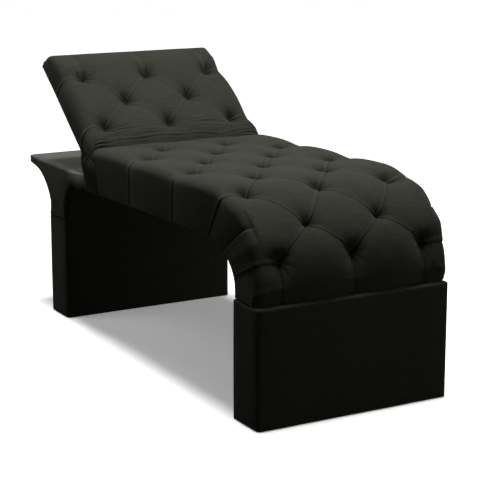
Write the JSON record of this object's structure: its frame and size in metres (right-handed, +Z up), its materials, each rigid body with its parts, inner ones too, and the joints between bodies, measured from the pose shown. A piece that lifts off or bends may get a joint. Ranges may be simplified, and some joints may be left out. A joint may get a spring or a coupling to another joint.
{
  "type": "eyelash extension bed",
  "caption": "Tufted treatment bed on two upholstered box pedestals, with a rolled foot end, a ratchet-hinged backrest and a shelf on a flared bracket behind it",
  "frame": {"origin": "centre of the bounding box in plan, on the floor under the glides", "axes": "+X across the bed, to the right seen from the foot end; +Y along the bed from the foot end to the shelf at the head; +Z up"},
  "size_m": [0.7, 1.795, 0.997],
  "materials": {
    "cover_cloth": "matte",
    "tufted_cloth": "matte",
    "sleeve_foam": "matte",
    "dust_cloth": "matte",
    "twine": "matte",
    "plywood": "satin",
    "solid_wood": "satin",
    "bent_plywood": "satin",
    "glide_plastic": "matte",
    "zinc_steel": "satin",
    "hinge_steel": "satin",
    "pin_steel": "satin",
    "spring_steel": "polished"
  },
  "bodies": {
    "base": {"foot_front_panel": "plywood", "foot_back_panel": "plywood", "foot_end_panels": "plywood", "foot_top_panel": "plywood", "foot_corner_blocks": "solid_wood", "foot_padding": "sleeve_foam", "foot_cover": "cover_cloth", "foot_base_cloth": "dust_cloth", "foot_glides": "glide_plastic", "head_front_panel": "plywood", "head_back_panel": "plywood", "head_end_panels": "plywood", "head_top_panel": "plywood", "head_corner_blocks": "solid_wood", "head_padding": "sleeve_foam", "head_cover": "cover_cloth", "head_base_cloth": "dust_cloth", "head_glides": "glide_plastic", "side_rails": "plywood", "cross_rails": "solid_wood", "foot_board": "solid_wood", "seat_deck": "bent_plywood", "underside_cloth": "dust_cloth", "side_wraps": "cover_cloth", "flare_ribs": "plywood", "flare_base_board": "solid_wood", "flare_head_skin": "bent_plywood", "flare_foot_skin": "bent_plywood", "flare_cover": "cover_cloth", "shelf_panel": "plywood", "shelf_cover": "cover_cloth", "seat_bolts": "zinc_steel", "t_nuts": "zinc_steel", "seat_pad": "tufted_cloth", "fold_pad": "tufted_cloth", "seat_tuft_twines": "twine", "seat_tuft_washers": "zinc_steel", "hinge_fixed_arms": "hinge_steel", "hinge_pins": "pin_steel", "pawl_pins": "pin_steel", "pawl_springs": "spring_steel", "fixed_arm_screws": "zinc_steel"},
    "backrest": {"back_stiles": "plywood", "back_cross_rails": "solid_wood", "back_panel": "bent_plywood", "back_rear_cloth": "cover_cloth", "back_pad": "tufted_cloth", "back_tuft_twines": "twine", "back_tuft_washers": "zinc_steel", "hinge_moving_arms": "hinge_steel", "moving_arm_screws": "zinc_steel"},
    "pawl_left": {"pawl_left": "hinge_steel"},
    "pawl_right": {"pawl_right": "hinge_steel"}
  },
  "joints": [
    {"name": "backrest_hinge", "type": "hinge", "parent": "base", "child": "backrest", "pos_m": [0, 0.2965, 0.607], "axis": [1, 0, 0], "range_deg": [-38.4, 19.2], "deforming": ["fold_pad"]},
    {"name": "pawl_left_hinge", "type": "hinge", "parent": "base", "child": "pawl_left", "pos_m": [-0.315, 0.25684, 0.58937], "axis": [1, 0, 0], "range_deg": [0, 8]},
    {"name": "pawl_right_hinge", "type": "hinge", "parent": "base", "child": "pawl_right", "pos_m": [0.315, 0.25684, 0.58937], "axis": [1, 0, 0], "range_deg": [0, 8]}
  ]
}
